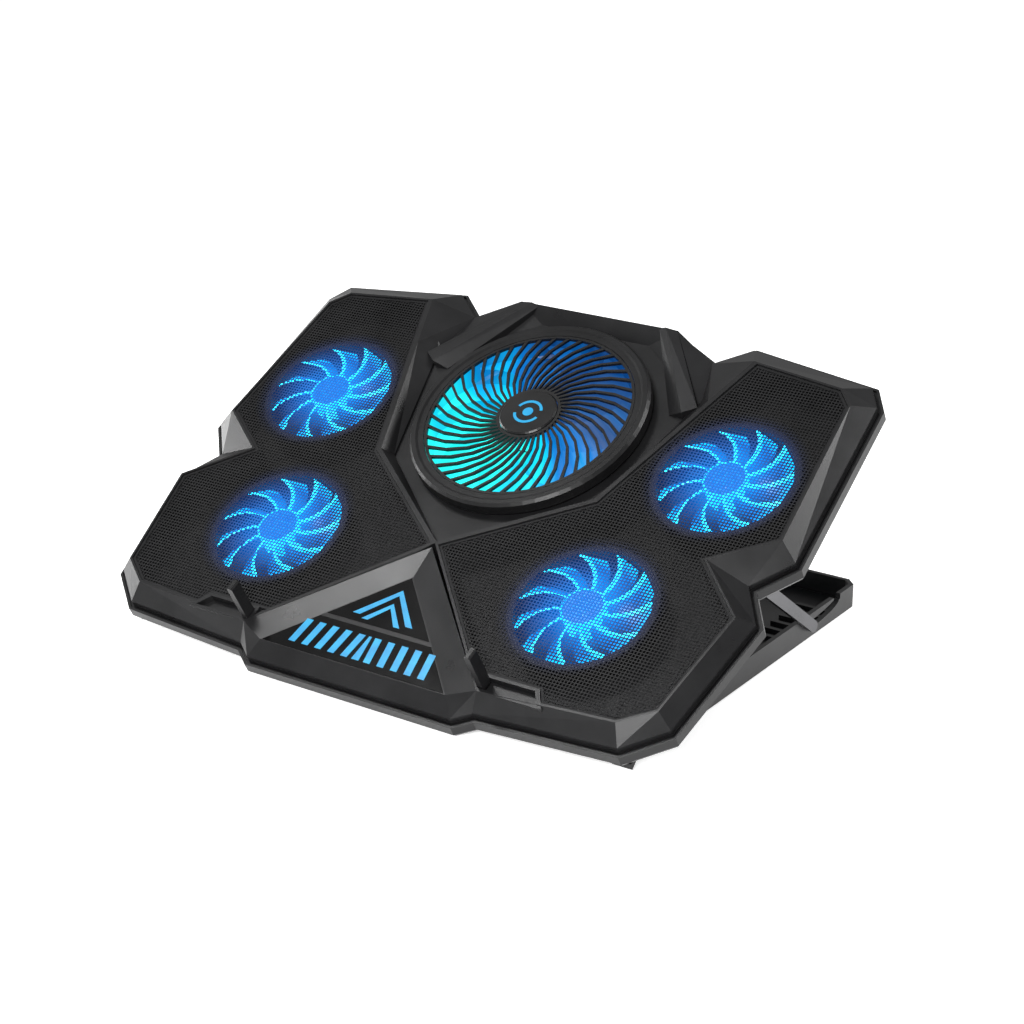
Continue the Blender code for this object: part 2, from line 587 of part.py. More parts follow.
# ---------------------------------------------------------------- main fan
def main_fan():
    inner = MAIN_R + 1 * MM
    tube = inner + SHROUD_TUBE
    seat = -DECK_DROP + CLEAR
    shroud = turned("main_fan_shroud", [
        (inner, -BASE_DROP + 3.5 * MM), (tube, -BASE_DROP + 3.5 * MM), (tube, seat), (SHROUD_R - 1.5 * MM,
            seat),
        (SHROUD_R, seat + 2.4 * MM), (SHROUD_R, -2 * MM), (SHROUD_R - 1.6 * MM, -0.3 * MM),
        (SHROUD_R - 4.5 * MM, -0.3 * MM), (SHROUD_R - 6 * MM, -1.1 * MM), (inner, -1.1 * MM)], 64)
    place(shroud, GREY, 0.45, at=(0, FAN_Y, 0))

    grille = turned("main_fan_grille", [(inner - CLEAR - 1.8 * MM, -3.4 * MM), (inner - CLEAR, -3.4 * MM),
                                        (inner - CLEAR, -1.2 * MM), (inner - CLEAR - 1.8 * MM, -1.2 * MM)],
                                            48)
    hub = turned("grille_hub", [(MAIN_HUB_R + CLEAR, -3.4 * MM), (MAIN_HUB_R + 2.2 * MM, -3.4 * MM),
                                (MAIN_HUB_R + 2.2 * MM, -1.2 * MM), (MAIN_HUB_R + CLEAR, -1.2 * MM)], 44)
    bm = bmesh.new()
    sweep = math.radians(-34)
    reach = inner - CLEAR - 0.9 * MM
    start_r = MAIN_HUB_R + 1.2 * MM
    for k in range(MAIN_VANES):
        rings = []
        for s in range(5):
            share = s / 4
            radius = start_r + (reach - start_r) * share
            angle = 2 * math.pi * k / MAIN_VANES + sweep * share
            half = (0.7 * MM + 0.3 * MM * share) / radius * 1.15
            rings.append([bm.verts.new((radius * math.cos(a), radius * math.sin(a), z))
                          for a, z in ((angle - half, -3.1 * MM), (angle + half, -3.1 * MM),
                                       (angle + half, -1.4 * MM), (angle - half, -1.4 * MM))])
        for low, high in zip(rings, rings[1:]):
            for i in range(4):
                j = (i + 1) % 4
                bm.faces.new((low[i], low[j], high[j], high[i]))
        bm.faces.new(list(reversed(rings[0])))
        bm.faces.new(rings[-1])
    vanes = from_bmesh("grille_vanes", bm)
    join_to(grille, vanes, hub)
    for piece in (vanes, hub):
        piece.location = (0, FAN_Y, 0)
        piece.parent = PAD
    place(grille, DARK, 0.45, at=(0, FAN_Y, 0))

    cap = turned_solid("main_fan_cap", [(MAIN_HUB_R, -3.4 * MM), (MAIN_HUB_R, -0.8 * MM),
        (MAIN_HUB_R - 0.8 * MM, 0)], 44)
    place(cap, (0.004, 0.004, 0.005), 0.12, at=(0, FAN_Y, 0))

    rotor = turned("main_fan_rotor", [(14 * MM, -17 * MM), (17.5 * MM, -17 * MM), (17.5 * MM, -5 * MM),
                                      (1 * MM, -5 * MM), (1 * MM, -6.6 * MM), (14 * MM, -6.6 * MM)], 32)
    blades = blade_set("main_blades", MAIN_BLADES, 17 * MM, MAIN_R - 2.5 * MM, -6 * MM, -16.5 * MM,
                       math.radians(30), math.radians(30), 1.4 * MM, 5)
    blades.parent = PAD
    blades.location = (0, FAN_Y, 0)
    join_to(rotor, blades)
    place(rotor, (0.02, 0.3, 0.5), 0.35, at=(0, FAN_Y, 0), glow=(0.05, 0.6, 1.0))

    motor = turned_solid("main_fan_motor", [(17 * MM, FLOOR_Z + CLEAR), (17 * MM, FLOOR_Z + 1.5 * MM),
                                            (12.5 * MM, FLOOR_Z + 1.5 * MM), (12.5 * MM, -8 * MM)], 32)
    place(motor, DARK, 0.5, 0.2, at=(0, FAN_Y, 0))
    ring = turned("main_led_ring", [(MAIN_R - 4 * MM, FLOOR_Z + CLEAR), (MAIN_R, FLOOR_Z + CLEAR),
                                    (MAIN_R, FLOOR_Z + 1.8 * MM), (MAIN_R - 4 * MM, FLOOR_Z + 1.8 * MM)],
                                        48)
    place(ring, (0.6, 0.95, 1.0), 0.4, at=(0, FAN_Y, 0), glow=(0.1, 0.8, 1.0))


def turned_solid(name, profile, sides):
    """Turned piece that is solid at its axis: a stack of lofted rings."""
    loops = []
    for radius, z in profile:
        loops.append([(radius * math.cos(2 * math.pi * i / sides),
            radius * math.sin(2 * math.pi * i / sides), z)
                      for i in range(sides)])
    return loft(name, loops)


# ---------------------------------------------------------------- small fans
def small_fans():
    duct = FAN_R + FAN_TIP_GAP
    floor = FLOOR_Z + CLEAR
    for name, (x, y) in FANS.items():
        at = (x, y, 0)
        frame = turned("fan_frame_" + name, [(duct, floor), (duct + FAN_WALL, floor), (duct + FAN_WALL,
            -FAN_TOP - 1 * MM),
                                             (duct, -FAN_TOP - 1 * MM)], 40)
        plate = cylinder("plate", (0, 0, floor + 0.7 * MM), 12.5 * MM, 1.4 * MM, 24)
        arms = []
        for k in range(3):
            arm = box("arm", (duct / 2 + 4 * MM, 0, floor + 0.7 * MM), (duct - 8 * MM + FAN_WALL, 4 * MM,
                1.2 * MM))
            arm.data.transform(Matrix.Rotation(math.radians(30 + 120 * k), 4, "Z"))
            arms.append(arm)
        for piece in [plate] + arms:
            piece.parent = PAD
            piece.location = at
        join_to(frame, *arms, plate)
        place(frame, DARK, 0.5, at=at)

        motor_low, motor_high = floor + 1.7 * MM, -FAN_TOP - 3 * MM
        motor = cylinder("fan_motor_" + name, (0, 0, (motor_low + motor_high) / 2), 10.2 * MM,
                         motor_high - motor_low, 20)
        place(motor, DARK, 0.5, 0.3, at=at)

        rotor = turned("fan_rotor_" + name, [
            (11.6 * MM, -16.8 * MM), (FAN_HUB_R, -16.8 * MM), (FAN_HUB_R, -FAN_TOP), (0.8 * MM, -FAN_TOP),
            (0.8 * MM, -FAN_TOP - 1.5 * MM), (11.6 * MM, -FAN_TOP - 1.5 * MM)], 28)
        blades = blade_set("blades_" + name, FAN_BLADES, FAN_HUB_R - 0.5 * MM, FAN_R, -FAN_TOP - 0.7 * MM,
                           -FAN_TOP - 10 * MM, math.radians(22), math.radians(19), 1.1 * MM)
        blades.parent = PAD
        blades.location = at
        join_to(rotor, blades)
        place(rotor, (0.02, 0.3, 0.6), 0.35, at=at, glow=(0.03, 0.5, 1.0))


# ---------------------------------------------------------------- lights and electronics
def front_lights():
    for name, points in WINDOWS.items():
        pane = prism(name, offset(points, -CLEAR), -TRI_DROP - 1.7 * MM, -TRI_DROP - 0.2 * MM)
        place(pane, (0.002, 0.002, 0.003), 0.1)
        guide = prism(name.replace("window", "light_guide"), offset(points, -1 * MM), -SKIRT_DROP
            + 0.5 * MM,
                      -TRI_DROP - 2 * MM)
        place(guide, (0.7, 0.9, 1.0), 0.3, glow=(0.1, 0.7, 1.0))
    board = prism("led_board", [(0, WINDOW_APEX[1] - 8 * MM), (-52 * MM, FRONT_Y - 3 * MM),
                                (52 * MM, FRONT_Y - 3 * MM)], -SKIRT_DROP - 2.2 * MM,
                                    -SKIRT_DROP - 0.6 * MM)
    place(board, (0.01, 0.12, 0.04), 0.5)


def electronics():
    deep = 9 * MM
    board = box("control_board", (0, BACK_WALL_Y - 4.4 * MM - CLEAR - 1.5 * MM - deep, CONTROL_Z),
                (80 * MM, 1.6 * MM, 4.2 * MM))
    place(board, (0.01, 0.12, 0.04), 0.5)
    for i, x in enumerate(USB_X):
        port = box("usb_port_%d" % (i + 1), (x, BACK_WALL_Y - USB_BODY[1] / 2 - 0.2 * MM, CONTROL_Z),
            USB_BODY)
        cut_from(port, box("usb_mouth", (x, BACK_WALL_Y, CONTROL_Z),
                           (USB_BODY[0] - 1.2 * MM, 2 * (USB_BODY[1] - 2 * MM), USB_BODY[2] - 1.2 * MM)))
        for guide in CUTTERS.objects:
            if guide.name.startswith("usb_mouth"):
                guide.parent = PAD
        place(port, (0.6, 0.6, 0.62), 0.3, 0.9)
    dial = cylinder("speed_dial", (0, 0, 0), DIAL_R, DIAL_T, 24)
    place(dial, DARK, 0.6, at=(DIAL_X, BACK_WALL_Y - DIAL_R + 1.6 * MM, CONTROL_Z))
    button = box("light_button", (0, 0, 0), BUTTON)
    place(button, DARK, 0.5, at=(BUTTON_X, BACK_WALL_Y - BUTTON[1] / 2 + 1.2 * MM, CONTROL_Z))


def screws():
    for i, (x, y) in enumerate(SCREWS):
        screw = turned_solid("case_screw_%d" % (i + 1), [(HEAD_R, 0.3 * MM), (HEAD_R, 1.9 * MM), (SHANK_R,
            1.9 * MM),
                                                         (SHANK_R, 14 * MM)], 14)
        place(screw, (0.1, 0.1, 0.11), 0.3, 0.9, at=(x, y, -BASE_DROP))


# ---------------------------------------------------------------- laptop stops
def laptop_stops():
    for side, name in ((1, "right"), (-1, "left")):
        axis = add_empty("stop_axis_" + name, (side * STOP_X, STOP_Y, -STOP_AXIS_DROP), parent=PAD)
        half = STOP_T / 2
        arc = [(half * math.cos(a), half * math.sin(a)) for a in [math.pi + i * math.pi / 8
            for i in range(9)]]
        outline = arc + [(half, STOP_REACH - 1 * MM), (half - 1 * MM, STOP_REACH), (-half + 0.4 * MM,
            STOP_REACH),
                         (-half, STOP_REACH - 0.4 * MM)]
        loops = [[(x, y, z) for x, z in outline] for y in (-STOP_WIDTH / 2, STOP_WIDTH / 2)]
        plate = loft("laptop_stop_" + name, loops)
        bore = cylinder("stop_bore", (0, 0, 0), STOP_PIN_R + CLEAR, STOP_WIDTH + 2 * MM, 12, "Y")
        bore.parent = axis
        cut_from(plate, bore)
        place(plate, GREY, 0.45, parent=axis)
        pin = cylinder("stop_pin_" + name, (side * STOP_X, STOP_Y, -STOP_AXIS_DROP), STOP_PIN_R,
                       STOP_WIDTH + 3 * MM, 12, "Y")
        place(pin, (0.5, 0.5, 0.52), 0.3, 1.0)


# ---------------------------------------------------------------- stand
NOTCH_PITCH = 10.6 * MM


def peg_place(lift):
    """World Y and Z of the prop peg while the pad stands at an angle."""
    arm_y, arm_z = PROP_Y - HINGE_Y, HINGE_DROP - PROP_DROP
    fall = PROP_ANGLE * lift / TILT
    return (HINGE_WY + arm_y * math.cos(lift) - arm_z * math.sin(lift) + PROP_LENGTH * math.cos(fall),
            HINGE_WZ + arm_y * math.sin(lift) + arm_z * math.cos(lift) - PROP_LENGTH * math.sin(fall))


def peg_slot(x):
    """Slot in the side wall along which the peg travels, open at the top at its rear end."""
    radius = PEG_R + 0.4 * MM
    low = [peg_place(TILT * k / 8) for k in range(8, -1, -1)]
    front = [(low[0][0] + radius * math.cos(a), low[0][1] + radius * math.sin(a))
             for a in [math.pi / 2 + i * math.pi / 8 for i in range(8)]]
    under = [(y + 0.6 * radius, z - 1.15 * radius) for y, z in low]
    over = [(y, z + radius) for y, z in reversed(low)]
    rear_y, rear_z = low[-1]
    rear = [(rear_y + 1.3 * radius, rear_z - radius), (rear_y + 1.3 * radius, rear_z + 8 * MM),
            (rear_y - 3 * radius, rear_z + 8 * MM)]
    outline = front + under + rear + over[3:-1]
    return loft("peg_slot", [[(x + s * 1.5 * STAND_WALL, y, z) for y, z in outline] for s in (-1, 1)])


def stand():
    top = FOOT_T + STAND_H
    front = HINGE_WY + 1 * MM
    outline = [(STAND_X, front), (STAND_X, STAND_REAR_WY - 6 * MM), (STAND_X - 6 * MM, STAND_REAR_WY)]
    outline = pair(outline)
    frame = prism("stand_frame", outline, FOOT_T, top)
    cut_from(frame, prism("stand_dish", offset(outline, -STAND_WALL), FOOT_T + 2.4 * MM, top + 5 * MM),
             prism("stand_window", pair([(STAND_X - STAND_SIDE, front + STAND_RAIL),
                                         (STAND_X - STAND_SIDE, STAND_REAR_WY - STAND_RAIL)]), 0, top
                                             + 5 * MM))
    for side in (-1, 1):
        cut_from(frame, box("lug_gap", (side * HINGE_X, HINGE_WY, HINGE_WZ), (LUG_T + 2 * CLEAR, 12 * MM,
            10.6 * MM)))
        for step in (-1, 1):
            x = side * HINGE_X + step * (LUG_T + CLEAR * 2)
            join_to(frame, hull("stand_lug", [
                (x + s * LUG_T / 2, HINGE_WY + KNUCKLE_R * math.cos(a), HINGE_WZ + KNUCKLE_R * math.sin(a))
                for s in (-1, 1) for a in [i * math.pi / 6 for i in range(12)]]
                + [(x + s * LUG_T / 2, HINGE_WY + t, FOOT_T + 0.4 * MM) for s in (-1, 1)
                   for t in (-KNUCKLE_R, KNUCKLE_R + 6 * MM)]))
        cut_from(frame, peg_slot(side * STAND_X))
        rib_x = side * (STAND_X - STAND_WALL - 11 * MM)
        ribs = [box("rib", (rib_x, PEG_WY + k * NOTCH_PITCH, FOOT_T + 3.7 * MM), (24 * MM, 3 * MM, 3.2 * MM))
                for k in (-2, -1, 0, 1, 2, 3)]
        join_to(frame, join_islands("ratchet_ribs", ribs))
        cut_from(frame, cylinder("stand_bore", (side * HINGE_X, HINGE_WY, HINGE_WZ), HINGE_PIN_R + CLEAR,
                                 5 * LUG_T, 16, "X"))
        pin = cylinder("hinge_pin_" + ("left" if side < 0 else "right"), (side * HINGE_X, HINGE_WY,
            HINGE_WZ),
                       HINGE_PIN_R, 3 * LUG_T + 1 * MM, 16, "X")
        place(pin, (0.5, 0.5, 0.52), 0.3, 1.0, parent=None)
    place(frame, GREY, 0.5, parent=None)
    corners = [(s * (STAND_X - 13 * MM), y) for y in (front + 13 * MM, STAND_REAR_WY - 15 * MM)
        for s in (-1, 1)]
    for name, (x, y) in zip(("front_left", "front_right", "rear_left", "rear_right"), corners):
        foot = cylinder("stand_foot_" + name, (x, y, (FOOT_T - CLEAR) / 2), 8 * MM, FOOT_T - CLEAR, 24)
        place(foot, (0.01, 0.01, 0.01), 0.9, parent=None)


def props():
    for side, name in ((1, "right"), (-1, "left")):
        x = side * (STAND_X + 2 * CLEAR + PROP_T / 2)
        axis = add_empty("prop_axis_" + name, (x, PROP_Y, -PROP_DROP), -PROP_ANGLE - TILT, PAD)
        half = PROP_WIDTH / 2
        root = [(half * math.cos(a), half * math.sin(a)) for a in [math.pi / 2 + i * math.pi / 8
            for i in range(9)]]
        tip_r = PEG_R + 1.6 * MM
        tip = [(PROP_LENGTH + tip_r * math.cos(a), tip_r * math.sin(a))
               for a in [-math.pi / 2 + i * math.pi / 8 for i in range(9)]]
        outline = root + tip
        arm = loft("prop_arm_" + name, [[(s * PROP_T / 2, y, z) for y, z in outline] for s in (-1, 1)])
        peg = cylinder("prop_peg", (-side * (PROP_T / 2 + STAND_WALL / 2), PROP_LENGTH, 0), PEG_R,
                       STAND_WALL + PROP_T * 0.8 + 2 * CLEAR, 16, "X")
        bore = cylinder("prop_eye", (0, 0, 0), PEG_R, 2 * PROP_T, 16, "X")
        for tool in (peg, bore):
            tool.parent = axis
        join_to(arm, peg)
        cut_from(arm, bore)
        place(arm, GREY, 0.4, parent=axis)
        pin = cylinder("prop_pin_" + name, (x + side * (PROP_T / 2 + CLEAR + 1 * MM), PROP_Y, -PROP_DROP),
                       PEG_R - CLEAR, PROP_T + 5.4 * MM, 16, "X")
        place(pin, (0.5, 0.5, 0.52), 0.3, 1.0)
    for side, name in ((1, "right"), (-1, "left")):
        x = side * (SIDE_X - 28 * MM)
        y0, y1 = FRONT_Y - 5 * MM, FRONT_Y + 10 * MM
        top = -BASE_DROP - CLEAR
        foot = hull("front_foot_" + name, [(x + s * 8 * MM, y0, top) for s in (-1, 1)]
                    + [(x + s * 8 * MM, y1, top) for s in (-1, 1)]
                    + [(x + s * 6.5 * MM, y0 + 1 * MM, top - 6.6 * MM) for s in (-1, 1)]
                    + [(x + s * 6.5 * MM, y0 + 6 * MM, top - 5 * MM) for s in (-1, 1)])
        place(foot, (0.01, 0.01, 0.01), 0.85)


top_cover()
mesh_panels()
base_shell()
main_fan()
small_fans()
front_lights()
electronics()
screws()
laptop_stops()
stand()
props()
for guide in CUTTERS.objects:
    if guide.parent is None and guide.name.split(".")[0] not in (
            "stand_dish", "stand_window", "stand_lug", "lug_gap", "peg_slot", "ratchet_ribs", "stand_bore"):
        guide.parent = PAD
bpy.context.view_layer.update()
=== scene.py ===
# %% [markdown]
# # A laptop cooling pad
#
# The pad has two wings of perforated sheet with two small fans under each, one large
# fan in a sunken well, two glossy light windows at the front and a folding stand.
# The measured solids are already made, so this notebook gives them their finishes
# and models the fine pieces on top: the perforated sheets, the luminous rotors and
# the light marks.

import json
import math

import bmesh
import bpy
from mathutils import Euler, Matrix, Vector


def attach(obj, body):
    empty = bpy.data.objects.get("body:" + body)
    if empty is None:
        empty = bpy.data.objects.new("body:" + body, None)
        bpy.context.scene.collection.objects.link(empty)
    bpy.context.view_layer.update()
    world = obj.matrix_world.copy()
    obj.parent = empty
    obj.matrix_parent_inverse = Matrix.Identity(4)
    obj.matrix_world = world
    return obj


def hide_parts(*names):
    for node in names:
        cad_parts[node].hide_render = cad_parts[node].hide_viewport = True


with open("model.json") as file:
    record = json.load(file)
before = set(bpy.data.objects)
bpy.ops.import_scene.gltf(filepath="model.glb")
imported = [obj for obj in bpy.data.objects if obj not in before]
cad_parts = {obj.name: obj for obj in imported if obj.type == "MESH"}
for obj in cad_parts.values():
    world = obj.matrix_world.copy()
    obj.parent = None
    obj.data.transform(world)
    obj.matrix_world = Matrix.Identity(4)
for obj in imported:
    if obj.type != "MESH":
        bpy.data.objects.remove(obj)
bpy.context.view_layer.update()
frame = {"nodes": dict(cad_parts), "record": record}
MM = 0.001

# %% [markdown]
# ## The pad's own frame
#
# The pad leans on its stand, so its top isn't level. Everything on it is easier to
# think about as if it lay flat: X to the right, Y to the rear and Z up from the two
# perforated panels. One matrix lifts that flat frame onto the stand. The tilt and the
# height are found from the large fan's axis in the record.

# %% Flat pad to tilted pad
joints = {joint["name"]: joint for joint in frame["record"]["behaviour"]["joints"]}
normal = Vector(joints["main_fan_spin"]["axis"])
TILT = math.atan2(-normal.y, normal.z)
FAN_Y = 79 * MM
SPIN_DEPTH = 10 * MM
fan_point = Vector(joints["main_fan_spin"]["pos_m"])
along = Vector((0, math.cos(TILT), math.sin(TILT)))
PAD_AT = fan_point - along * FAN_Y + normal * SPIN_DEPTH
PAD = Matrix.Translation(PAD_AT) @ Matrix.Rotation(TILT, 4, "X")
print("tilt", round(math.degrees(TILT), 2), "pad origin", [round(v, 4) for v in PAD_AT])

# %% [markdown]
# ## Camera
#
# A long lens from the front right, a little above the pad. A long lens keeps the
# edges almost parallel, as in a catalogue picture.

# %% Place the camera
camera_data = bpy.data.cameras.new("camera")
camera_data.lens = 82.3
camera_data.sensor_width = 36
camera_data.clip_end = 20
camera = bpy.data.objects.new("camera", camera_data)
bpy.context.scene.collection.objects.link(camera)
camera.location = (0.7663, -1.0827, 0.5848)
turn = Euler((math.radians(68.87), 0, math.radians(34.80))).to_matrix()
camera.rotation_euler = (turn @ Matrix.Rotation(math.radians(-0.18), 3, "Z")).to_euler()
bpy.context.scene.camera = camera
print("camera at", [round(v, 3) for v in camera.location])

# %% [markdown]
# ## Floor and soft light
#
# Dark plastic shows its shape only through what it mirrors. Large soft panels give each
# facet its own even grey: one high at the front for the bevels that face the viewer, one
# low at the left, a small one overhead and one behind that draws the rear edges. The
# floor is pale and plain.

# %% Floor, sky and light panels
def plain_material(name, colour, roughness):
    """A Principled material with one colour, for the stage only."""
    material = bpy.data.materials.new(name)
    material.use_nodes = True
    shader = material.node_tree.nodes["Principled BSDF"]
    shader.inputs["Base Color"].default_value = (*colour, 1)
    shader.inputs["Roughness"].default_value = roughness
    return material


bpy.ops.object.select_all(action="DESELECT")
bpy.ops.mesh.primitive_plane_add(size=12, location=(0, 0, 0))
floor = bpy.context.object
floor.name = "floor"
floor.data.materials.append(plain_material("pale_floor", (0.9, 0.9, 0.9), 0.7))
floor_shader = floor.data.materials[0].node_tree.nodes["Principled BSDF"]
floor_shader.inputs["Specular IOR Level"].default_value = 0.1
floor_shader.inputs["Emission Color"].default_value = (1, 1, 1, 1)
floor_shader.inputs["Emission Strength"].default_value = 0.6

world = bpy.data.worlds.new("studio")
bpy.context.scene.world = world
world.use_nodes = True
world.node_tree.nodes["Background"].inputs["Color"].default_value = (1, 1, 1, 1)
world.node_tree.nodes["Background"].inputs["Strength"].default_value = 0.4
bpy.context.scene.view_settings.view_transform = "Standard"


def light_panel(name, place, target, width, height, power):
    """A soft rectangular light that faces a point."""
    data = bpy.data.lights.new(name, "AREA")
    data.shape = "RECTANGLE"
    data.size = width
    data.size_y = height
    data.energy = power
    lamp = bpy.data.objects.new(name, data)
    bpy.context.scene.collection.objects.link(lamp)
    lamp.location = place
    aim = Vector(target) - Vector(place)
    lamp.rotation_euler = aim.to_track_quat("-Z", "Y").to_euler()
    return lamp


light_panel("near_panel", (0.60, -1.46, 0.92), (0.05, 0, 0.08), 0.55, 0.45, 40)
light_panel("left_panel", (-1.55, -0.15, 0.30), (0, 0, 0.08), 0.7, 0.45, 16)
light_panel("top_panel", (-0.62, -0.36, 1.55), (0, 0, 0.08), 0.35, 0.35, 12)
light_panel("rear_panel", (1.1, 0.95, 1.0), (0, 0, 0.1), 0.7, 0.4, 14)

# %% [markdown]
# ## Shared effects for the finishes
#
# Moulded plastic isn't perfectly smooth: it has a fine spark-eroded grain that breaks up
# highlights, and handling leaves slightly shinier patches. Both come from noise on the
# piece's own coordinates. They live in one node group, which hands out a mask and a
# normal, so each material keeps its own shader and its own colour.

# %% Node group: fine grain and soft patches
def make_group(name, inputs, outputs):
    """An empty shader node group with named sockets."""
    group = bpy.data.node_groups.new(name, "ShaderNodeTree")
    for label, kind, value in inputs:
        socket = group.interface.new_socket(name=label, in_out="INPUT", socket_type=kind)
        if value is not None:
            socket.default_value = value
    for label, kind in outputs:
        group.interface.new_socket(name=label, in_out="OUTPUT", socket_type=kind)
    group.nodes.new("NodeGroupInput")
    group.nodes.new("NodeGroupOutput")
    return group


def add(tree, kind, **values):
    """A node with some of its input sockets set by name."""
    node = tree.nodes.new(kind)
    for label, value in values.items():
        node.inputs[label.replace("_", " ")].default_value = value
    return node


def math_node(tree, operation, first, second=0.0, clamp=False):
    """A Math node whose inputs are sockets or numbers."""
    node = tree.nodes.new("ShaderNodeMath")
    node.operation = operation
    node.use_clamp = clamp
    for slot, value in zip(node.inputs, (first, second)):
        if isinstance(value, bpy.types.NodeSocket):
            tree.links.new(value, slot)
        else:
            slot.default_value = value
    return node.outputs[0]


grain = make_group("fine_grain",
                   [("Grain Scale", "NodeSocketFloat", 1400.0), ("Depth", "NodeSocketFloat", 0.15)],
                   [("Patches", "NodeSocketFloat"), ("Normal", "NodeSocketVector")])
source, result = grain.nodes["Group Input"], grain.nodes["Group Output"]
place = add(grain, "ShaderNodeTexCoord")
fine = add(grain, "ShaderNodeTexNoise", Detail=2.0)
patch = add(grain, "ShaderNodeTexNoise", Scale=26.0, Detail=4.0, Roughness=0.6)
relief = add(grain, "ShaderNodeBump", Distance=0.0002)
grain.links.new(place.outputs["Object"], fine.inputs["Vector"])
grain.links.new(place.outputs["Object"], patch.inputs["Vector"])
grain.links.new(source.outputs["Grain Scale"], fine.inputs["Scale"])
grain.links.new(source.outputs["Depth"], relief.inputs["Strength"])
grain.links.new(fine.outputs["Fac"], relief.inputs["Height"])
grain.links.new(patch.outputs["Fac"], result.inputs["Patches"])
grain.links.new(relief.outputs["Normal"], result.inputs["Normal"])
print("group", grain.name, "nodes", len(grain.nodes))

# %% [markdown]
# ## Plastics, rubber and metal
#
# The covers are a charcoal satin plastic. The stand and the base are the same family but
# a touch rougher. Rubber is nearly black and dull. Props, pins, screws and socket shells
# are metal, so their colour is in the reflection. One helper makes them all from a dark and a
# light tone, a roughness range and a grain.

# %% One helper for grained finishes
def grey(level):
    """A dark neutral with the slight blue of black plastic."""
    return (level, level, level * 1.06)


def grained(name, dark, light, smooth, rough, metallic=0.0, scale=1400.0, depth=0.15, coat=0.0,
            specular=0.28):
    """A Principled finish whose tone and roughness drift softly over the piece."""
    material = bpy.data.materials.new(name)
    material.use_nodes = True
    tree = material.node_tree
    shader = tree.nodes["Principled BSDF"]
    shader.inputs["Metallic"].default_value = metallic
    shader.inputs["Specular IOR Level"].default_value = specular
    shader.inputs["Coat Weight"].default_value = coat
    shader.inputs["Coat Roughness"].default_value = 0.05
    effect = tree.nodes.new("ShaderNodeGroup")
    effect.node_tree = grain
    effect.inputs["Grain Scale"].default_value = scale
    effect.inputs["Depth"].default_value = depth
    tone = tree.nodes.new("ShaderNodeValToRGB")
    tone.color_ramp.elements[0].position = 0.3
    tone.color_ramp.elements[1].position = 0.7
    tone.color_ramp.elements[0].color = (*dark, 1)
    tone.color_ramp.elements[1].color = (*light, 1)
    gloss = add(tree, "ShaderNodeMapRange", From_Min=0.3, From_Max=0.7, To_Min=smooth, To_Max=rough)
    tree.links.new(effect.outputs["Patches"], tone.inputs["Fac"])
    tree.links.new(effect.outputs["Patches"], gloss.inputs["Value"])
    tree.links.new(tone.outputs["Color"], shader.inputs["Base Color"])
    tree.links.new(gloss.outputs["Result"], shader.inputs["Roughness"])
    tree.links.new(effect.outputs["Normal"], shader.inputs["Normal"])
    return material


finishes = {
    "cover_plastic": grained("charcoal_satin_plastic", grey(0.006), grey(0.010), 0.27, 0.34),
    "base_plastic": grained("base_grained_plastic", grey(0.005), grey(0.008), 0.32, 0.42),
    "fan_ring_plastic": grained("fan_ring_plastic", grey(0.004), grey(0.007), 0.28, 0.36),
    "grille_plastic": grained("grille_black_plastic", grey(0.002), grey(0.004), 0.32, 0.42),
    "prop_steel": grained("satin_steel_bar", grey(0.07), grey(0.11), 0.26, 0.38, 1.0, 2600.0, 0.06),
    "stand_plastic": grained("stand_satin_plastic", grey(0.006), grey(0.010), 0.32, 0.42),
    "mesh_metal": grained("black_painted_sheet", grey(0.006), grey(0.011), 0.44, 0.54, specular=0.15),
    "fan_frame_plastic": grained("fan_frame_plastic", grey(0.003), grey(0.005), 0.45, 0.55),
    "motor_can": grained("motor_label_black", grey(0.008), grey(0.014), 0.4, 0.5, 0.3),
    "cap_gloss": grained("polished_black_plastic", grey(0.001), grey(0.003), 0.3, 0.4, depth=0.01),
    "window_gloss": grained("window_black_gloss", grey(0.0008), grey(0.002), 0.1, 0.16, depth=0.01),
    "control_plastic": grained("control_black_plastic", grey(0.006), grey(0.010), 0.4, 0.5, depth=0.3),
    "foot_rubber": grained("black_rubber", grey(0.006), grey(0.010), 0.75, 0.9, scale=900.0, depth=0.5),
    "pin_steel": grained("turned_steel", grey(0.5), grey(0.62), 0.22, 0.34, 1.0, 3000.0, 0.05),
    "port_metal": grained("plated_steel", grey(0.55), grey(0.7), 0.18, 0.3, 1.0, 3000.0, 0.05),
    "screw_steel": grained("blackened_steel", grey(0.06), grey(0.1), 0.3, 0.42, 1.0, 2500.0, 0.1),
    "light_guide": grained("milky_guide", (0.22, 0.26, 0.28), (0.28, 0.33, 0.35), 0.4, 0.5),
    "circuit_board": grained("green_circuit_board", (0.005, 0.07, 0.025), (0.01, 0.12, 0.04), 0.35, 0.45),
}
print("finishes:", len(finishes))

# %% [markdown]
# ## Light as a material
#
# The lit pieces are plastic with a lamp behind, so they are Principled shaders with
# emission. Around a round lamp the light falls off with distance, so a node group turns
# a position on the piece into a radius and an angle about a fan's axis.

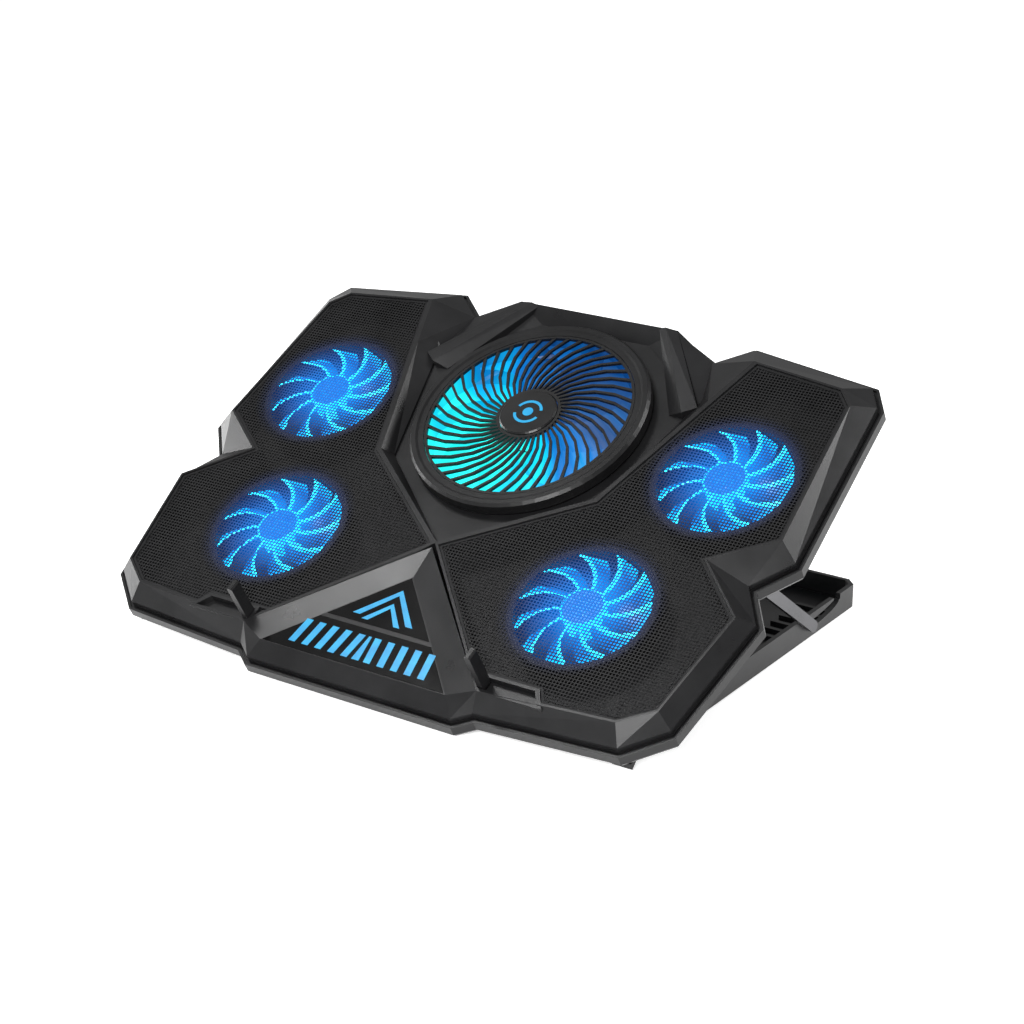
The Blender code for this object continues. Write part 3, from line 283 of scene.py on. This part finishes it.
# %% Node group: radius and angle about an axis
polar = make_group("round_position", [("Position", "NodeSocketVector", None)],
                   [("Radius", "NodeSocketFloat"), ("Angle", "NodeSocketFloat")])
source, result = polar.nodes["Group Input"], polar.nodes["Group Output"]
split = polar.nodes.new("ShaderNodeSeparateXYZ")
polar.links.new(source.outputs["Position"], split.inputs["Vector"])
square_x = math_node(polar, "MULTIPLY", split.outputs["X"], split.outputs["X"])
square_y = math_node(polar, "MULTIPLY", split.outputs["Y"], split.outputs["Y"])
radius = math_node(polar, "SQRT", math_node(polar, "ADD", square_x, square_y))
angle = math_node(polar, "ARCTAN2", split.outputs["Y"], split.outputs["X"])
polar.links.new(radius, result.inputs["Radius"])
polar.links.new(angle, result.inputs["Angle"])
print("group", polar.name, "nodes", len(polar.nodes))


# %% Helpers for lit plastics
def ramp(tree, fac, stops):
    """A colour ramp from a list of (position, colour)."""
    node = tree.nodes.new("ShaderNodeValToRGB")
    while len(node.color_ramp.elements) < len(stops):
        node.color_ramp.elements.new(0.5)
    for element, (position, colour) in zip(node.color_ramp.elements, stops):
        element.position = position
        element.color = (*colour, 1)
    tree.links.new(fac, node.inputs["Fac"])
    return node.outputs["Color"]


def fan_position(tree, centre):
    """Object coordinates turned into the flat pad frame about a fan's axis."""
    coords = tree.nodes.new("ShaderNodeTexCoord")
    mapping = tree.nodes.new("ShaderNodeMapping")
    mapping.vector_type = "TEXTURE"
    mapping.inputs["Location"].default_value = centre
    mapping.inputs["Rotation"].default_value = (TILT, 0, 0)
    tree.links.new(coords.outputs["Object"], mapping.inputs["Vector"])
    around = tree.nodes.new("ShaderNodeGroup")
    around.node_tree = polar
    tree.links.new(mapping.outputs["Vector"], around.inputs["Position"])
    return around.outputs["Radius"], around.outputs["Angle"]


def luminous(name, base, strength, roughness=0.35):
    """A new lit material and its node tree, ready for an emission colour."""
    material = bpy.data.materials.new(name)
    material.use_nodes = True
    shader = material.node_tree.nodes["Principled BSDF"]
    shader.inputs["Base Color"].default_value = (*base, 1)
    shader.inputs["Roughness"].default_value = roughness
    shader.inputs["Emission Strength"].default_value = strength
    return material, material.node_tree, shader


def speckled_light(name, base, strength, scale, stops, detail=1.0):
    """A lit plastic whose light varies a little over the piece."""
    material, tree, shader = luminous(name, base, strength)
    speck = add(tree, "ShaderNodeTexNoise", Scale=scale, Detail=detail)
    tree.links.new(add(tree, "ShaderNodeTexCoord").outputs["Object"], speck.inputs["Vector"])
    tree.links.new(ramp(tree, speck.outputs["Fac"], stops), shader.inputs["Emission Color"])
    return material


strip = speckled_light("light_strip", (0.3, 0.5, 0.55), 2.0, 90.0,
                       [(0.3, (0.01, 0.42, 0.75)), (0.7, (0.03, 0.62, 0.95))], detail=2.0)
finishes["light_strip"] = strip
finishes["rotor_plastic"] = strip
print("luminous:", strip.name)

# %% [markdown]
# ## Finishes onto the measured solids
#
# Every solid already has a material slot in the record, so one loop gives each solid its
# finish. A narrow bevel rounds the moulded edges, because a real mould has no perfectly
# sharp edge and the small radius is what catches a line of light.

# %% Dress the solids
BEVELS = {
    "top_cover": 0.35 * MM, "base_shell": 0.35 * MM, "stand_frame": 0.5 * MM,
    "prop_arm_left": 0.4 * MM, "prop_arm_right": 0.4 * MM,
    "laptop_stop_left": 0.5 * MM, "laptop_stop_right": 0.5 * MM,
    "front_foot_left": 0.6 * MM, "front_foot_right": 0.6 * MM,
}
for part in frame["record"]["subparts"]:
    solid = frame["nodes"][part["node"]]
    solid.data.materials.clear()
    solid.data.materials.append(finishes[part["material_slot"]])
    if part["node"] in BEVELS:
        bevel = solid.modifiers.new("moulded_edges", "BEVEL")
        bevel.width = BEVELS[part["node"]]
        bevel.segments = 2
        bevel.limit_method = "ANGLE"
        bevel.angle_limit = math.radians(25)
        bevel.harden_normals = False

# %% [markdown]
# ## Helpers for modelling flat and lifting into place
#
# Each new piece is modelled flat, about its own axis, and then its mesh is moved by one
# matrix into the tilted frame. The object itself stays at the origin, so patterns that
# follow its coordinates never slide.

# %% Small modelling helpers
def start_clean():
    """Object mode with nothing selected."""
    if bpy.context.object and bpy.context.object.mode != "OBJECT":
        bpy.ops.object.mode_set(mode="OBJECT")
    bpy.ops.object.select_all(action="DESELECT")


def finish_piece(piece, name, material_slots, lift, body, smooth=30):
    """Name a piece, dress it, move its mesh into place and let it ride on a body."""
    start_clean()
    piece.name = name
    piece.data.name = name
    slots = [min(polygon.material_index, len(material_slots) - 1) for polygon in piece.data.polygons]
    piece.data.materials.clear()
    for material in material_slots:
        piece.data.materials.append(material)
    piece.data.polygons.foreach_set("material_index", slots)
    piece.data.transform(lift @ piece.matrix_world)
    piece.matrix_world = Matrix.Identity(4)
    piece.select_set(True)
    bpy.context.view_layer.objects.active = piece
    bpy.ops.object.shade_smooth_by_angle(angle=math.radians(smooth))
    piece.select_set(False)
    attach(piece, body)
    return piece


def apply_all(piece):
    """Apply every modifier of a piece in order."""
    start_clean()
    piece.select_set(True)
    bpy.context.view_layer.objects.active = piece
    for modifier in list(piece.modifiers):
        bpy.ops.object.modifier_apply(modifier=modifier.name)


def triangles(piece):
    """How many triangles a piece's faces make."""
    return sum(len(polygon.vertices) - 2 for polygon in piece.data.polygons)


def lift_to(x, y, z=0.0):
    """From flat about a fan's axis to the tilted pad."""
    return PAD @ Matrix.Translation((x, y, z))


# %% [markdown]
# ## Perforated sheets
#
# Each wing carries a thin steel sheet punched with a close square pattern. A see-through
# image could fake it, but the lit fans must show through real holes. So a grid is made,
# every cell is inset to leave a thin wire all round, and the middle of each cell is
# removed. A solid hem follows the outline, which is read from the measured sheet itself.

# %% Outline of a measured sheet, laid flat
def flat_outline(node):
    """Top face of a flat solid as one polygon in the pad's flat frame."""
    bm = bmesh.new()
    bm.from_mesh(frame["nodes"][node].data)
    bmesh.ops.transform(bm, matrix=PAD.inverted(), verts=bm.verts)
    bmesh.ops.remove_doubles(bm, verts=bm.verts, dist=1e-6)
    bm.normal_update()
    bmesh.ops.delete(bm, geom=[f for f in bm.faces if f.normal.z < 0.9], context="FACES")
    bmesh.ops.dissolve_limit(bm, angle_limit=0.02, verts=bm.verts, edges=bm.edges)
    face = max(bm.faces, key=lambda f: f.calc_area())
    points = [loop.vert.co.copy() for loop in face.loops]
    bm.free()
    return points


def inside(x, y, points):
    """Whether a point lies in a polygon."""
    hit = False
    for a, b in zip(points, points[1:] + points[:1]):
        if (a.y > y) != (b.y > y) and x < (b.x - a.x) * (y - a.y) / (b.y - a.y) + a.x:
            hit = not hit
    return hit


PITCH = 2.15 * MM
WIRE = 0.33 * MM
HEM = 1.5 * MM
SHEET_GAUGE = 0.4 * MM
SHEET_DROP = 0.05 * MM
outlines = {side: flat_outline("mesh_panel_" + side) for side in ("left", "right")}
print("outline corners:", {side: len(points) for side, points in outlines.items()})


# %% Painted light: the blue glow that the fans spill on the sheets round each small fan
sheet_paint_and_glow = finishes["mesh_metal"]
tree = sheet_paint_and_glow.node_tree
shader = tree.nodes["Principled BSDF"]
FAN_NAMES = ("front_right", "rear_right", "front_left", "rear_left")
spill = None
for name in FAN_NAMES:
    flat = PAD.inverted() @ Vector(joints["fan_spin_" + name]["pos_m"])
    radius, angle = fan_position(tree, PAD @ Vector((flat.x, flat.y, 0)))
    near = add(tree, "ShaderNodeMapRange", From_Min=14 * MM, From_Max=52 * MM, To_Min=1.0, To_Max=0.0)
    near.interpolation_type = "SMOOTHSTEP"
    tree.links.new(radius, near.inputs["Value"])
    share = near.outputs["Result"]
    spill = share if spill is None else math_node(tree, "MAXIMUM", spill, share)
spill_stops = [(0.0, (0, 0, 0)), (0.35, (0.0, 0.018, 0.11)),
               (0.8, (0.0, 0.11, 0.50)), (1.0, (0.0, 0.20, 0.80))]
tree.links.new(ramp(tree, spill, spill_stops), shader.inputs["Emission Color"])
shader.inputs["Emission Strength"].default_value = 0.9
print("sheet paint nodes:", len(tree.nodes))


# %% Punch one sheet
def perforated_sheet(side):
    """A hem along the outline and a grid of wires inside it, with real holes."""
    points = outlines[side]
    hem = bpy.data.meshes.new("hem")
    hem.from_pydata(points, [], [list(range(len(points)))])
    border = bpy.data.objects.new("hem", hem)
    bpy.context.scene.collection.objects.link(border)
    start_clean()
    border.select_set(True)
    bpy.context.view_layer.objects.active = border
    bpy.ops.object.mode_set(mode="EDIT")
    bpy.ops.mesh.select_all(action="SELECT")
    bpy.ops.mesh.inset(thickness=HEM, depth=0)
    bpy.ops.object.mode_set(mode="OBJECT")
    middle = max(hem.polygons, key=lambda p: p.area)
    inner = [hem.vertices[i].co.copy() for i in middle.vertices]
    bm = bmesh.new()
    bm.from_mesh(hem)
    bm.faces.ensure_lookup_table()
    bmesh.ops.delete(bm, geom=[bm.faces[middle.index]], context="FACES_ONLY")
    bm.to_mesh(hem)
    bm.free()

    low_x, high_x = min(p.x for p in points), max(p.x for p in points)
    low_y, high_y = min(p.y for p in points), max(p.y for p in points)
    across, up = math.ceil((high_x - low_x) / PITCH), math.ceil((high_y - low_y) / PITCH)
    start_clean()
    bpy.ops.mesh.primitive_grid_add(x_subdivisions=across, y_subdivisions=up, size=1)
    sheet = bpy.context.object
    centre = Vector(((low_x + high_x) / 2, (low_y + high_y) / 2, points[0].z - SHEET_DROP))
    sheet.data.transform(Matrix.Translation(centre) @ Matrix.Diagonal((across * PITCH, up * PITCH, 1, 1)))
    bm = bmesh.new()
    bm.from_mesh(sheet.data)
    spare = [f for f in bm.faces if not inside(f.calc_center_median().x, f.calc_center_median().y, inner)]
    bmesh.ops.delete(bm, geom=spare, context="FACES")
    bm.to_mesh(sheet.data)
    bm.free()
    bpy.ops.object.mode_set(mode="EDIT")
    bpy.ops.mesh.select_mode(type="FACE")
    bpy.ops.mesh.select_all(action="SELECT")
    bpy.ops.mesh.inset(thickness=WIRE, depth=0, use_individual=True)
    bpy.ops.mesh.delete(type="FACE")
    bpy.ops.object.mode_set(mode="OBJECT")
    start_clean()
    border.select_set(True)
    sheet.select_set(True)
    bpy.context.view_layer.objects.active = sheet
    bpy.ops.object.join()
    wall = sheet.modifiers.new("sheet_gauge", "SOLIDIFY")
    wall.thickness = SHEET_GAUGE
    wall.offset = -1
    apply_all(sheet)
    finish_piece(sheet, "perforated_sheet_" + side, [finishes["mesh_metal"]], PAD, "pad")
    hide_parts("mesh_panel_" + side)
    return sheet


for side in ("left", "right"):
    print(side, "sheet triangles:", triangles(perforated_sheet(side)))

# %% [markdown]
# ## Small rotors
#
# Eleven thin blades sweep round a flat hub. They are clear blue plastic with lamps in the
# hub, so light runs along each leading edge and pools at the tips. One blade is a grid
# bent into place; its own UV map, along the chord and along the span, then tells the
# material where the bright edge and the bright tip are.

# %% Materials of the small rotors
blade_light, tree, shader = luminous("blade_light", (0.002, 0.01, 0.03), 3.0)
blade_map = tree.nodes.new("ShaderNodeUVMap")
blade_map.uv_map = "UVMap"
split = tree.nodes.new("ShaderNodeSeparateXYZ")
tree.links.new(blade_map.outputs["UV"], split.inputs["Vector"])
edge = ramp(tree, split.outputs["X"], [(0.0, (1, 1, 1)), (0.16, (0.9, 0.9, 0.9)),
                                       (0.26, (0.28, 0.28, 0.28)), (0.8, (0.12, 0.12, 0.12))])
tip = ramp(tree, split.outputs["Y"], [(0.55, (0, 0, 0)), (0.8, (0.36, 0.36, 0.36)), (1.0, (0.5, 0.5, 0.5))])
both_light = tree.nodes.new("ShaderNodeMix")
both_light.data_type = "RGBA"
both_light.blend_type = "LIGHTEN"
both_light.inputs["Factor"].default_value = 1.0
tree.links.new(edge, both_light.inputs["A"])
tree.links.new(tip, both_light.inputs["B"])
blade_stops = [(0.0, (0.0, 0.02, 0.10)), (0.3, (0.0, 0.16, 0.55)),
               (0.6, (0.0, 0.50, 1.10)), (1.0, (0.03, 1.1, 1.9))]
tree.links.new(ramp(tree, both_light.outputs["Result"], blade_stops), shader.inputs["Emission Color"])

hub_light = speckled_light("hub_light", (0.002, 0.02, 0.06), 1.3, 420.0,
                           [(0.35, (0.0, 0.16, 0.72)), (0.65, (0.0, 0.30, 1.1))])
rim_light = speckled_light("hub_rim_light", (0.002, 0.03, 0.06), 2.0, 160.0,
                           [(0.35, (0.0, 0.65, 1.3)), (0.65, (0.03, 0.95, 1.7))])
print("rotor lights:", blade_light.name, hub_light.name, rim_light.name)

# %% One blade, bent from a grid
HUB_R, TIP_R, BLADES = 13.5 * MM, 40 * MM, 11


def bend_blade(piece, inner, outer, sweep, chord_in, chord_out, top, fall):
    """Wrap a unit grid round an axis: X runs along the chord and Y along the span."""
    for vertex in piece.data.vertices:
        along, out = vertex.co.x + 0.5, vertex.co.y + 0.5
        r = inner + (outer - inner) * out
        lead = sweep * out ** 1.5
        chord = chord_in + (chord_out - chord_in) * out
        turn_by = lead - chord * along
        dip = fall * along + 0.4 * MM * math.sin(math.pi * along)
        vertex.co = (r * math.cos(turn_by), r * math.sin(turn_by), top - dip)


def make_blade(chord_cuts, span_cuts, thickness, **shape):
    """One blade: a grid bent round the axis and given a thickness."""
    start_clean()
    bpy.ops.mesh.primitive_grid_add(x_subdivisions=chord_cuts, y_subdivisions=span_cuts, size=1)
    blade = bpy.context.object
    bend_blade(blade, **shape)
    wall = blade.modifiers.new("blade_gauge", "SOLIDIFY")
    wall.thickness = thickness
    wall.offset = 0
    apply_all(blade)
    return blade


def blades_round(hub, blade, count):
    """Copies of one blade round a hub, joined into one piece."""
    pieces = [hub]
    for step in range(count):
        copy = blade.copy()
        copy.data = blade.data.copy()
        bpy.context.scene.collection.objects.link(copy)
        copy.data.transform(Matrix.Rotation(2 * math.pi * step / count, 4, "Z"))
        pieces.append(copy)
    bpy.data.objects.remove(blade)
    start_clean()
    for piece in pieces:
        piece.select_set(True)
    bpy.context.view_layer.objects.active = hub
    bpy.ops.object.join()
    return bpy.context.object


blade = make_blade(10, 10, 0.8 * MM, inner=HUB_R - 0.6 * MM, outer=TIP_R, sweep=math.radians(24),
                   chord_in=math.radians(15), chord_out=math.radians(21), top=-3.5 * MM, fall=6.5 * MM)
print("blade triangles:", triangles(blade))

# %% Hub with a raised rim, and the blades round it
start_clean()
bpy.ops.mesh.primitive_cylinder_add(vertices=48, radius=HUB_R, depth=13.6 * MM, location=(0, 0, -9.6 * MM))
hub = bpy.context.object
bpy.ops.object.transform_apply(location=True, rotation=True, scale=True)
bpy.ops.object.mode_set(mode="EDIT")
bpy.ops.mesh.select_mode(type="FACE")
bpy.ops.mesh.select_all(action="DESELECT")
bpy.ops.object.mode_set(mode="OBJECT")
for polygon in hub.data.polygons:
    polygon.select = polygon.normal.z > 0.9
bpy.ops.object.mode_set(mode="EDIT")
bpy.ops.mesh.inset(thickness=1.3 * MM, depth=0)
bpy.ops.mesh.inset(thickness=0.2 * MM, depth=-0.5 * MM)
bpy.ops.mesh.inset(thickness=5.0 * MM, depth=0)
bpy.ops.mesh.inset(thickness=0.4 * MM, depth=0.3 * MM)
bpy.ops.object.mode_set(mode="OBJECT")
for polygon in hub.data.polygons:
    out = math.hypot(polygon.center.x, polygon.center.y)
    polygon.material_index = 1 if out < HUB_R - 1.4 * MM and polygon.normal.z > 0.3 else 2
hub.data.materials.append(blade_light)
hub.data.materials.append(hub_light)
hub.data.materials.append(rim_light)
blade.data.materials.append(blade_light)
rotor = blades_round(hub, blade, BLADES)
print("small rotor triangles:", triangles(rotor))

# %% A copy of the rotor for each small fan
fan_places = {}
for name in FAN_NAMES:
    flat = PAD.inverted() @ Vector(joints["fan_spin_" + name]["pos_m"])
    fan_places[name] = (flat.x, flat.y)
    copy = rotor.copy()
    copy.data = rotor.data.copy()
    bpy.context.scene.collection.objects.link(copy)
    finish_piece(copy, "lit_rotor_" + name, [blade_light, hub_light, rim_light], lift_to(flat.x, flat.y),
                 "rotor_" + name)
    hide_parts("fan_rotor_" + name)
bpy.data.objects.remove(rotor)
print("small fans at", {name: [round(v, 4) for v in at] for name, at in fan_places.items()})

# %% [markdown]
# ## Glow dishes under the small fans
#
# Light spills from the lamps into the duct around each rotor and fades outwards. A
# shallow turned dish under the blades, dark plastic with a fading blue light, also hides
# the intake slots below. It is one profile spun round the axis.

# %% Spin a profile round the Z axis
def spun(points, steps):
    """A turned surface from a list of (radius, height)."""
    mesh = bpy.data.meshes.new("profile")
    mesh.from_pydata([(r, 0, z) for r, z in points], [(i, i + 1) for i in range(len(points) - 1)], [])
    piece = bpy.data.objects.new("profile", mesh)
    bpy.context.scene.collection.objects.link(piece)
    start_clean()
    piece.select_set(True)
    bpy.context.view_layer.objects.active = piece
    bpy.ops.object.mode_set(mode="EDIT")
    bpy.ops.mesh.select_all(action="SELECT")
    bpy.ops.mesh.spin(steps=steps, angle=2 * math.pi, center=(0, 0, 0), axis=(0, 0, 1))
    bpy.ops.mesh.select_all(action="SELECT")
    bpy.ops.mesh.remove_doubles(threshold=1e-5)
    bpy.ops.mesh.normals_make_consistent(inside=False)
    bpy.ops.object.mode_set(mode="OBJECT")
    return piece


DISH = [(10.5 * MM, -17.5 * MM), (40.2 * MM, -17.5 * MM), (41.05 * MM, -16 * MM), (41.05 * MM, -3.1 * MM),
        (45.2 * MM, -3.1 * MM), (45.2 * MM, -3.3 * MM), (41.2 * MM, -3.35 * MM), (41.2 * MM, -17.7 * MM),
        (10.5 * MM, -17.7 * MM), (10.5 * MM, -17.5 * MM)]
HALO_REACH = 50 * MM
HALO_STOPS = [(0.26, (0.0, 0.26, 0.85)), (0.45, (0.0, 0.07, 0.36)),
              (0.75, (0.0, 0.02, 0.13)), (0.905, (0.0, 0.0, 0.01))]
for name, (x, y) in fan_places.items():
    centre = PAD @ Vector((x, y, 0))
    halo, tree, shader = luminous("halo_" + name, (0.004, 0.006, 0.012), 1.0, 0.5)
    radius, angle = fan_position(tree, centre)
    share = math_node(tree, "DIVIDE", radius, HALO_REACH)
    tree.links.new(ramp(tree, share, HALO_STOPS), shader.inputs["Emission Color"])
    dish = spun(DISH, 64)
    finish_piece(dish, "glow_dish_" + name, [halo], lift_to(x, y), "pad")
print("dish triangles:", triangles(dish))

# %% [markdown]
# ## The large fan's light
#
# Behind the vanes the big rotor turns in a ring of lamps. The lamps on one side are
# turquoise and the rest deep blue, so the light is a fan of colour: strong and greenish
# from the left round to the front, blue elsewhere. The same pattern is given to the dish
# below and to the blades, by radius and angle about the fan's axis.

# %% Colour by radius and angle
TURQUOISE_TOWARD = math.radians(232)


def fan_of_light(name, strength, centre):
    """Turquoise on one side of an axis and deep blue on the other, in streaks."""
    material, tree, shader = luminous(name, (0.004, 0.02, 0.03), strength, 0.4)
    radius, angle = fan_position(tree, centre)
    toward = math_node(tree, "COSINE", math_node(tree, "SUBTRACT", angle, TURQUOISE_TOWARD))
    streaks = math_node(tree, "SINE", math_node(tree, "ADD", math_node(tree, "MULTIPLY", angle, 9.0),
                                                math_node(tree, "MULTIPLY", radius, 90.0)))
    side = math_node(tree, "ADD", math_node(tree, "MULTIPLY", toward, 0.46), 0.44)
    mixed = math_node(tree, "ADD", side, math_node(tree, "MULTIPLY", streaks, 0.10))
    fade = math_node(tree, "SUBTRACT", mixed, math_node(tree, "MULTIPLY", radius, 1.6), True)
    stops = [(0.0, (0.0, 0.035, 0.16)), (0.28, (0.0, 0.14, 0.48)),
             (0.5, (0.0, 0.45, 0.75)), (0.8, (0.02, 0.92, 0.80))]
    tree.links.new(ramp(tree, fade, stops), shader.inputs["Emission Color"])
    return material


main_centre = PAD @ Vector((0, FAN_Y, 0))
dish_light = fan_of_light("large_fan_dish_light", 1.1, main_centre)
# Painted light: the lamps' glow on the large blades and hub is emission, turquoise on one side and deep
# blue elsewhere.
large_blade_glow = fan_of_light("large_fan_blade_light", 1.5, main_centre)
main_dish = spun([(17.8 * MM, -17.6 * MM), (64.5 * MM, -17.6 * MM), (66.2 * MM, -16 * MM),
                  (66.2 * MM, -4.2 * MM), (66.6 * MM, -4.2 * MM), (66.6 * MM, -18 * MM),
                  (17.8 * MM, -18 * MM), (17.8 * MM, -17.6 * MM)], 96)
finish_piece(main_dish, "large_fan_glow_dish", [dish_light], lift_to(0, FAN_Y), "pad")
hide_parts("main_led_ring")
print("large dish triangles:", triangles(main_dish))

# %% Nine broad blades on a smooth hub
BIG_BLADES = 9
big_blade = make_blade(12, 12, 1.3 * MM, inner=17.0 * MM, outer=63.5 * MM, sweep=math.radians(32),
                       chord_in=math.radians(33), chord_out=math.radians(34), top=-5.6 * MM, fall=10 * MM)
big_blade.data.materials.append(large_blade_glow)
big_hub = spun([(0.0, -5.2 * MM), (15.5 * MM, -5.2 * MM), (17.4 * MM, -7 * MM), (17.4 * MM, -17 * MM),
                (15.9 * MM, -17 * MM), (15.9 * MM, -7.2 * MM), (0.0, -7.2 * MM)], 64)
big_hub.data.materials.append(large_blade_glow)
big_rotor = finish_piece(blades_round(big_hub, big_blade, BIG_BLADES), "large_lit_rotor", [large_blade_glow],
                         lift_to(0, FAN_Y), "main_rotor")
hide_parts("main_fan_rotor")
print("large rotor triangles:", triangles(big_rotor))

# %% [markdown]
# ## Light marks
#
# The two glossy windows and the fan's cap carry lit signs. Here they are plain shapes
# that stand for nothing: slanted bars, chevrons and broken rings. Each is a thin
# translucent inlay, cut as a flat outline and given a small thickness.

# %% Material and helper for an inlay
mark_light = speckled_light("mark_light", (0.0, 0.03, 0.05), 0.95, 120.0,
                            [(0.3, (0.0, 0.33, 0.72)), (0.7, (0.0, 0.47, 0.86))])


def inlay(name, outlines_mm, height, lift, material=mark_light, thick=0.12 * MM):
    """Thin luminous shapes from outlines in millimetres, joined into one piece."""
    points, faces = [], []
    for outline in outlines_mm:
        faces.append(list(range(len(points), len(points) + len(outline))))
        points += [(x * MM, y * MM, height) for x, y in outline]
    mesh = bpy.data.meshes.new(name)
    mesh.from_pydata(points, [], faces)
    piece = bpy.data.objects.new(name, mesh)
    bpy.context.scene.collection.objects.link(piece)
    start_clean()
    piece.select_set(True)
    bpy.context.view_layer.objects.active = piece
    bpy.ops.object.mode_set(mode="EDIT")
    bpy.ops.mesh.select_all(action="SELECT")
    bpy.ops.mesh.normals_make_consistent(inside=False)
    bpy.ops.mesh.extrude_region_move(TRANSFORM_OT_translate={"value": (0, 0, thick)})
    bpy.ops.mesh.select_all(action="SELECT")
    bpy.ops.mesh.normals_make_consistent(inside=False)
    bpy.ops.object.mode_set(mode="OBJECT")
    return finish_piece(piece, name, [material], lift, "pad")


def both_sides(outlines_mm):
    """Outlines and their mirror images about the middle."""
    return outlines_mm + [[(-x, y) for x, y in outline] for outline in outlines_mm]


# %% Glossy panes that fill the front frame
WINDOW_Z = -1.72 * MM
PANE_Z = -1.96 * MM
PANE_THICK = 0.22 * MM


def pane(name, outline, node):
    """A gloss-black pane in place of a measured window."""
    piece = inlay(name, [outline], PANE_Z, PAD, finishes["window_gloss"], PANE_THICK)
    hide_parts(node)


pane("upper_pane", [(0, -59.2), (-36.9, -97.3), (36.9, -97.3)], "window_upper")
pane("lower_pane", [(-40.2, -100.4), (-65.6, -126.9), (65.6, -126.9), (40.2, -100.4)], "window_lower")

# %% Bars in the lower window, chevrons in the upper, rings on the cap
BAR_LOW, BAR_HIGH, BAR_WIDE, BAR_STEP, BAR_LEAN = -122.5, -105.0, 4.6, 9.6, 2.5
bars = []
for k in range(5):
    x0 = 6.0 + BAR_STEP * k
    x1 = x0 + BAR_WIDE
    bars.append([(x0, BAR_LOW), (x1, BAR_LOW), (x1 - BAR_LEAN, BAR_HIGH), (x0 - BAR_LEAN, BAR_HIGH)])
bars = both_sides(bars)
bars.append([(-2.6, BAR_LOW), (2.6, BAR_LOW), (0.9, BAR_HIGH), (-0.9, BAR_HIGH)])
inlay("window_bars", bars, WINDOW_Z, PAD)


def chevron(apex_y, half, drop, thick):
    """The two arms of a chevron that points to the rear."""
    low, spread = apex_y - drop - thick, 0.6 * thick
    return [[(0, apex_y), (0, apex_y - thick), (-half + spread, low), (-half - spread, low)],
            [(0, apex_y), (half + spread, low), (half - spread, low), (0, apex_y - thick)]]


inlay("window_chevrons", chevron(-69, 19, 19, 4.2) + chevron(-79.5, 11.5, 11.5, 3.6), WINDOW_Z, PAD)


def arc_band(start, end, inner, outer, steps=18):
    """A band along an arc, with its angles in degrees."""
    angles = [math.radians(start + (end - start) * k / steps) for k in range(steps + 1)]
    return ([(inner * math.cos(a), inner * math.sin(a)) for a in angles]
            + [(outer * math.cos(a), outer * math.sin(a)) for a in reversed(angles)])


rings = [arc_band(20, 160, 7.6, 9.4), arc_band(200, 340, 7.6, 9.4), arc_band(0, 359.9, 0.05, 3.4, 32)]
inlay("cap_rings", rings, 0.02 * MM, lift_to(0, FAN_Y))
print("marks done")
